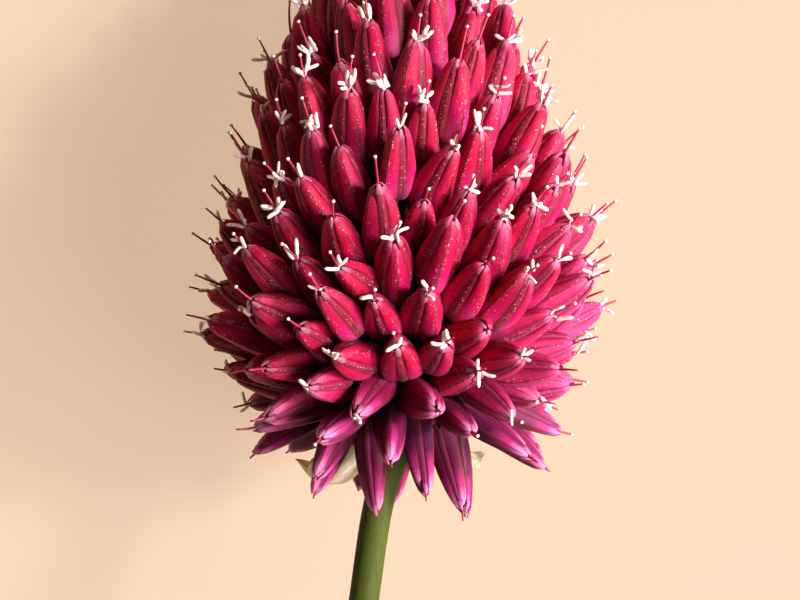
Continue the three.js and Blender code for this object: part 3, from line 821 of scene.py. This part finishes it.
REGIONS = np.array_split(np.argsort(florets.angle), 3)
for region, chosen in zip(["crown", "girth", "skirt"], REGIONS):
    outer, inner = Builder(), Builder()
    for place, i in enumerate(chosen):
        add_tepals(outer, i, place, OUTER_KIND)
        add_tepals(inner, i, place, INNER_KIND)
    outer.piece(f"outer_tepals_{region}", OUTER, "umbel", slot="florets")
    inner.piece(f"inner_tepals_{region}", INNER, "umbel", slot="florets")


# ---- Stamens and styles ----

# Least heights over the surface of what is slim.
THREAD_ROOM, ANTHER_ROOM, ANTHER_MIDDLE_ROOM, PEDICEL_ROOM = 0.08, 0.16, 0.25, 0.3

STAMENS = 6
# A floret at the crown shows a draw of 1 to 5 times the share, less the lag, and lower ones show fewer.
STAMEN_DRAW, STAMEN_SHARE, STAMEN_LAG = (1, 6), 2.1, 0.95
STAMEN_TURN, TURN_LUCK = 2.3, 0.3  # radians from one to the next
STAMEN_LEAN = (14, 52)  # degrees off the bell's axis
FILAMENT_ROOT = 0.5  # before the bell's tip
FILAMENT_KNEE, FILAMENT_REACH = 0.05, (0.15, 0.75)  # beyond the bell's tip
FILAMENT_RADIUS, FILAMENT_SIDES = 0.06, 5

ANTHER_LENGTH, ANTHER_WIDTH = (0.7, 1.25), (0.21, 0.31)
ANTHER_BOW = (0.02, 0.12)  # as a share of its length
ANTHER_SWING, ANTHER_HELD = 0.6, 0.3  # how freely it turns, and how far off its middle it is held
ANTHER_ROWS = np.array([-1, -0.92, -0.7, -0.35, 0, 0.35, 0.7, 0.92, 1])
ANTHER_SIDES, ANTHER_END, PINCH, PINCH_LENGTH = 7, 0.02, 0.14, 0.3

STYLE_DRIFT = 0.12
STYLE_ROOT, STYLE_HIDDEN = 0.6, 0.5  # how far before the tip it starts, and how much longer that makes it
STYLE_RADII, STYLE_ROWS, STYLE_SIDES = (0.11, 0.06), 7, 6
STIGMA_CHANCE, STIGMA_LAG = 1.3, 0.1
STIGMA_ROWS = np.array([-1, -0.7, 0, 0.7, 1])
STIGMA_HALF, STIGMA_RADIUS, STIGMA_ROUND, STIGMA_SIDES = 0.1, 0.12, 1.06, 7


def off_surface(points, room=THREAD_ROOM):
    """Keeps what is slim above the surface."""
    points = np.array(points)
    points[..., 2] = points[..., 2].clip(room)
    return points


def add_anther(builder, centre, along, length, width):
    """A plump anther, bowed to one side and pinched at its middle."""
    t = ANTHER_ROWS
    pinch = 1 - PINCH * np.exp(-((t / PINCH_LENGTH) ** 2))
    radii = width / 2 * np.sqrt((1 - t ** 4).clip(ANTHER_END)) * pinch
    bow = unit(np.cross(along, luck.normal(0, 1, 3))) * luck.uniform(*ANTHER_BOW) * length
    path = centre + along * (t * length / 2)[:, None] - bow * (t ** 2)[:, None]
    tube(builder, off_surface(path, ANTHER_ROOM), radii, ANTHER_SIDES)


def add_stamens(anthers, filaments, i):
    """The stamens that show on floret i: more of them, and longer, the further it has opened."""
    count = int(luck.integers(*STAMEN_DRAW) * STAMEN_SHARE * OPENED[i] - STAMEN_LAG)
    start = luck.random() * 2 * math.pi
    tip, axis = florets.tip[i], florets.axis[i]
    side, up = cross_axes(axis)
    for k in range(min(count, STAMENS)):
        turn = start + k * STAMEN_TURN + luck.normal(0, TURN_LUCK)
        lean = math.radians(luck.uniform(*STAMEN_LEAN))
        heading = axis * math.cos(lean)
        heading = heading + (side * math.cos(turn) + up * math.sin(turn)) * math.sin(lean)
        reach = luck.uniform(*FILAMENT_REACH) * (0.5 + 0.5 * OPENED[i])
        end = tip + heading * reach
        path = off_surface([tip - axis * FILAMENT_ROOT, tip + heading * FILAMENT_KNEE, end])
        tube(filaments, path, FILAMENT_RADIUS, FILAMENT_SIDES)
        swing = unit(heading + luck.normal(0, ANTHER_SWING, 3))
        length = luck.uniform(*ANTHER_LENGTH)
        centre = off_surface(end + swing * length * ANTHER_HELD, ANTHER_MIDDLE_ROOM)
        add_anther(anthers, centre, swing, length, luck.uniform(*ANTHER_WIDTH))


def add_style(styles, stigmas, i):
    """The style of floret i, which drifts aside, with a stigma more often the further it has opened."""
    tip, axis = florets.tip[i], florets.axis[i]
    side, up = cross_axes(axis)
    drift = (side * luck.normal(0, STYLE_DRIFT) + up * luck.normal(0, STYLE_DRIFT)) * florets.protrusion[i]
    length = max(florets.protrusion[i], SHORTEST_STYLE)
    t = np.linspace(0, 1, STYLE_ROWS)[:, None]
    path = tip - axis * STYLE_ROOT + axis * (length + STYLE_HIDDEN) * t + drift * t ** 2
    path = off_surface(path)
    tube(styles, path, np.linspace(*STYLE_RADII, STYLE_ROWS), STYLE_SIDES)
    if luck.random() < STIGMA_CHANCE * OPENED[i] - STIGMA_LAG:
        t = STIGMA_ROWS
        heading = unit(path[-1] - path[-2])
        centres = path[-1] + heading * t[:, None] * STIGMA_HALF
        tube(stigmas, centres, STIGMA_RADIUS * np.sqrt(STIGMA_ROUND - t ** 2), STIGMA_SIDES)


anthers, filaments, styles, stigmas = Builder(), Builder(), Builder(), Builder()
for i in range(COUNT):
    add_stamens(anthers, filaments, i)
    add_style(styles, stigmas, i)
anthers.piece("anthers", ANTHER, "umbel", slot="stamens")
filaments.piece("filaments", FILAMENT, "umbel", slot="stamens")
styles.piece("styles", STYLE, "umbel", slot="florets")
stigmas.piece("stigmas", ANTHER, "umbel", slot="stamens")


# ---- Pedicels ----

PEDICEL_RADII = np.array([0.2, 0.2, 0.21, 0.22, 0.23, 0.25, 0.29, 0.36])
PEDICEL_SIDES, PEDICEL_SUNK, PEDICEL_PULL = 7, 0.15, 0.35
ROOT_OUT, ROOT_DOWN = 1.0, 0.5  # from the flower's origin to where it starts, inside the knob
# The knob from which the pedicels spread, as [radius, height] from its top down.
KNOB = np.array([(0.2, 1.5), (0.9, 1.25), (1.4, 0.7), (1.6, 0), (1.6, -0.8), (1.5, -1.8), (1.4, -2.6)])
KNOB_SIDES, KNOB_ALONG, KNOB_TONE = 18, 0.1, 0.3


def add_pedicel(builder, i):
    """A slim stalk that leaves the knob outwards and meets the bell's base in line with its axis."""
    base = florets.tip[i] - florets.axis[i] * (florets.length[i] - PEDICEL_SUNK)
    heading = unit(base - LIE_AT)
    root = LIE_AT + heading * ROOT_OUT - UP * ROOT_DOWN
    reach = np.linalg.norm(base - root)
    pull_out, pull_in = heading * reach * PEDICEL_PULL, florets.axis[i] * reach * PEDICEL_PULL
    t = np.linspace(0, 1, len(PEDICEL_RADII))[:, None]
    path = (root * (1 - t) ** 3 + 3 * (root + pull_out) * t * (1 - t) ** 2
            + 3 * (base - pull_in) * t ** 2 * (1 - t) + base * t ** 3)
    tube(builder, off_surface(path, PEDICEL_ROOM), PEDICEL_RADII, PEDICEL_SIDES, along=t[:, 0], tone=LOW[i])


def add_knob(builder):
    """The knob on the flower's axis."""
    radii, heights = KNOB[::-1].T
    centres = laid(heights[:, None] * [0, 0, 1])
    tube(builder, centres, radii, KNOB_SIDES, along=KNOB_ALONG, tone=KNOB_TONE)


pedicels = Builder()
for i in range(COUNT):
    add_pedicel(pedicels, i)
add_knob(pedicels)
pedicels.piece("pedicels", PEDICEL, "umbel", slot="pedicels")


# ---- Stalk ----

STALK_SIDES, STALK_ROWS, STALK_STEPS = 32, 60, 200
STALK_INSET = 0.02  # by which its skin is inside the solid's
STALK_SWELL, SWELL_HEIGHT = 0.40, 1.1  # of its swollen top
CUT_ROWS = 5  # over which the rows take on the slant of the cut
# Rings across the cut, from its rim into a pale hollow: share of the stalk's radius, and depth.
CUT_RINGS = ((0.95, -0.05), (0.8, -0.05), (0.55, 0.0), (0.34, 0.02), (0.27, 0.30), (0.1, 0.34))


def smooth_line(points, count):
    """Points along a Catmull-Rom curve through the given ones."""
    points = np.array(points, float)
    knots = np.concatenate([[2 * points[0] - points[1]], points, [2 * points[-1] - points[-2]]])
    out = []
    for s in np.linspace(0, len(points) - 1, count):
        k = min(int(s), len(points) - 2)
        u = s - k
        p0, p1, p2, p3 = knots[k:k + 4]
        out.append(0.5 * (2 * p1 + (p2 - p0) * u + (2 * p0 - 5 * p1 + 4 * p2 - p3) * u ** 2
                          + (3 * p1 - p0 - 3 * p2 + p3) * u ** 3))
    return np.array(out)


def stalk_ring(centre, forward, radius, slope):
    """A ring round the stalk's line, in the flower's own frame. centre and forward are [right, height]."""
    turn = np.arange(STALK_SIDES) / STALK_SIDES * 2 * math.pi
    across, depth = radius * np.cos(turn), radius * np.sin(turn)
    slide = slope * depth
    return np.stack([
        centre[0] - forward[1] * across + forward[0] * -slide,
        depth,
        centre[1] + forward[0] * across + forward[1] * -slide,
    ], -1)


def build_stalk():
    """The stalk from under its top down to the knife's slanting cut, with a pale hollow in the cut face."""
    line = smooth_line(SCAPE_LINE, STALK_STEPS)
    line = line[line[:, 1] > SCAPE_LINE[-1][1] + SCAPE_RADIUS]
    line = line[np.linspace(0, len(line) - 1, STALK_ROWS).astype(int)]
    step = unit(np.gradient(line, axis=0))
    swell = STALK_SWELL * np.exp(-(((line[:, 1] - SCAPE_TOP) / SWELL_HEIGHT) ** 2))
    radii = list(SCAPE_RADIUS - STALK_INSET + swell)
    slopes = list(CUT_SLOPE * np.clip((np.arange(STALK_ROWS) - STALK_ROWS + CUT_ROWS + 1) / CUT_ROWS, 0, 1))
    centres, steps, along = list(line), list(step), list(np.linspace(0, SKIN_ENDS, STALK_ROWS))
    for share, depth in CUT_RINGS:
        centres.append(line[-1] - step[-1] * depth)
        steps.append(step[-1])
        radii.append(SCAPE_RADIUS * share)
        slopes.append(CUT_SLOPE)
        along.append(1.0)
    rings = [stalk_ring(*ring) for ring in zip(centres, steps, radii, slopes)]
    ends = [[right, 0, height] for right, height in (centres[0], centres[-1])]
    stalk = Builder()
    add_rings(stalk, laid(np.array(rings)), laid(np.array(ends)), along=along)
    stalk.piece("stalk", SCAPE, "scape", slot="stalk")


build_stalk()


# ---- Spathe ----

VALVE_ROWS, VALVE_COLUMNS = 40, 41
SHEET_DEPTHS = (0.22, 0.30)  # of the paper's outer and inner faces inside the solid
TAPER_START, TAPER_LENGTH = 0.1, 0.82  # the stretch of a half wave that its width follows
WIDEST, BEAK_DRAWN, BEAK_POWER = 1.04, 0.8, 7  # the beak is drawn in by a power of the share along
MARGIN_AT = 0.9  # across, where its ragged margin starts
RAG_LARGE, RAG_SMALL = 0.05, 0.03
PLEAT_DEPTH, CRUMPLE_DEPTH = 0.045, 0.22


def build_valve(name, azimuth, size):
    """A papery boat-shaped blade with a beak, pleated along its veins and crumpled towards its margin."""
    root = np.array(VALVE_MIDRIB[0])
    line = smooth_line(root + size * (np.array(VALVE_MIDRIB) - root), VALVE_ROWS)
    step = unit(np.gradient(line, axis=0))
    along = np.linspace(0, 1, VALVE_ROWS)[:, None]
    across = np.linspace(-1, 1, VALVE_COLUMNS)[None]
    taper = np.sin(math.pi * (TAPER_START + TAPER_LENGTH * along))
    half = VALVE_HALF_WIDTH * size * taper * (WIDEST - BEAK_DRAWN * along ** BEAK_POWER)
    ragged = 1 + RAG_LARGE * np.sin(23 * along + azimuth) + RAG_SMALL * np.sin(51 * along)
    width = across * half * np.where(np.abs(across) > MARGIN_AT, ragged, 1)
    swell = np.sin(math.pi * along)
    pleats = PLEAT_DEPTH * np.cos(across * math.pi * VALVE_VEINS) * swell
    crumple = CRUMPLE_DEPTH * np.sin(15 * along + 4 * across + azimuth)
    crumple = crumple * np.sin(9 * across + 3 * along) * np.abs(across)
    turn = math.radians(azimuth)
    sheets = []
    for depth in SHEET_DEPTHS:
        inward = depth + VALVE_CUP * size * across ** 2 * swell + pleats + crumple * swell
        out = line[:, :1] - step[:, 1:] * inward
        height = line[:, 1:] + step[:, :1] * inward
        x = out * math.cos(turn) - width * math.sin(turn)
        y = out * math.sin(turn) + width * math.cos(turn)
        sheets.append(laid(np.stack([x, y, height], -1)).reshape(-1, 3))
    lengthwise = np.broadcast_to(along, (VALVE_ROWS, VALVE_COLUMNS)).reshape(-1)
    sideways = np.broadcast_to(across, (VALVE_ROWS, VALVE_COLUMNS)).reshape(-1)
    paper = Builder()
    paper.add(np.concatenate(sheets[::-1]), shell_quads(VALVE_ROWS, VALVE_COLUMNS),
              along=np.tile(lengthwise, 2), across=np.tile(sideways, 2))
    paper.piece(name + "_paper", SPATHE, name, slot="spathe")


for name, azimuth in VALVE_AZIMUTHS.items():
    build_valve(name, azimuth, VALVE_SIZES[name])


# ---- Stage: floor, lights, camera and air ----

FLOOR_HALF = 30  # metres
FLOOR_SHADES = rgb(0.84, 0.60, 0.40), rgb(0.94, 0.69, 0.475)
FLOOR_LIT, FLOOR_GLOW = 0.22, 0.73  # shares of its shade that it reflects and gives off

LENS, SENSOR = 170.0, 36.0
PHOTO_WIDTH, PIXELS_PER_MM = 800, 15.4
PICTURE_WIDTH = PHOTO_WIDTH / PIXELS_PER_MM  # millimetres across the picture where the flower's axis is
AIM_RIGHT, AIM_UP = -0.2, 4.87  # of the picture's middle, from the flower's origin

# The air's shade by how far up a direction points: the pale band along the horizon, and what is over it.
HORIZON_TO, HORIZON = 0.06, rgb(0.72, 0.52, 0.35)
AIR_FROM, AIR = 0.16, rgb(0.03, 0.025, 0.022)


def build_floor():
    """A plain pale floor that glows softly."""
    made, node, finish = material("floor")
    grain = noise(node, object_place(node), 9.0, detail=1.0)
    colour = mix(node, grain, *FLOOR_SHADES)
    finish({
        "Base Color": mix(node, 1.0, colour, rgb(FLOOR_LIT, FLOOR_LIT, FLOOR_LIT), "MULTIPLY"),
        "Emission Color": colour,
        "Emission Strength": FLOOR_GLOW,
        "Roughness": 0.9,
        "Specular IOR Level": 0.1,
    })
    made.cycles.emission_sampling = "NONE"
    corners = [(x * FLOOR_HALF, y * FLOOR_HALF, 0) for x, y in ((-1, -1), (1, -1), (1, 1), (-1, 1))]
    mesh = bpy.data.meshes.new("floor")
    mesh.from_pydata(corners, [], [(0, 1, 2, 3)])
    mesh.materials.append(made)
    floor = bpy.data.objects.new("floor", mesh)
    bpy.context.scene.collection.objects.link(floor)


def place_light(name, direction, distance, size, power, colour):
    """An area light that shines on the flower from a direction [right, up the picture, towards the viewer].

    The distance is in millimetres, and the size of the light in metres.
    """
    right, up, towards = direction
    heading = unit(RIGHT * right + UP * up + TOWARDS * towards)
    lamp = bpy.data.lights.new(name, "AREA")
    lamp.shape, lamp.size, lamp.energy, lamp.color = "DISK", size, power, colour
    light = bpy.data.objects.new(name, lamp)
    light.location = Vector((LIE_AT + heading * distance) * MM)
    light.rotation_euler = Vector(heading).to_track_quat("Z", "Y").to_euler()
    bpy.context.scene.collection.objects.link(light)


def build_camera():
    """A camera that looks down on the flower as the viewer of the picture looks at it."""
    data = bpy.data.cameras.new("camera")
    data.lens, data.sensor_width = LENS, SENSOR
    data.clip_start = 0.01
    camera = bpy.data.objects.new("camera", data)
    aim = LIE_AT + RIGHT * AIM_RIGHT + UP * AIM_UP
    axes = Matrix([RIGHT, UP, TOWARDS]).transposed().to_4x4()
    axes.translation = Vector((aim + TOWARDS * PICTURE_WIDTH * LENS / SENSOR) * MM)
    camera.matrix_world = axes
    bpy.context.scene.collection.objects.link(camera)
    bpy.context.scene.camera = camera


def build_world():
    """Dim studio air, with a pale band along the horizon that carries the floor's colour on."""
    world = bpy.data.worlds.new("world")
    bpy.context.scene.world = world
    world.use_nodes = True
    tree = world.node_tree
    sight = tree.nodes.new("ShaderNodeTexCoord")
    parts = tree.nodes.new("ShaderNodeSeparateXYZ")
    shade = tree.nodes.new("ShaderNodeValToRGB")
    tree.links.new(sight.outputs["Generated"], parts.inputs[0])
    tree.links.new(parts.outputs["Z"], shade.inputs[0])
    tree.links.new(shade.outputs[0], tree.nodes["Background"].inputs["Color"])
    low, high = shade.color_ramp.elements
    low.position, low.color = HORIZON_TO, HORIZON
    high.position, high.color = AIR_FROM, AIR


build_floor()
place_light("key", (0.78, 0.04, 0.66), distance=600, size=0.12, power=6.5, colour=(1.0, 0.92, 1.0))
place_light("front", (0.62, -0.32, 0.72), distance=700, size=0.35, power=4.4, colour=(1.0, 0.92, 0.90))
place_light("edge", (1.0, 0.1, 0.15), distance=600, size=0.3, power=5.0, colour=(1.0, 0.68, 0.98))
build_camera()
build_world()
bpy.context.scene.view_settings.view_transform = "Standard"
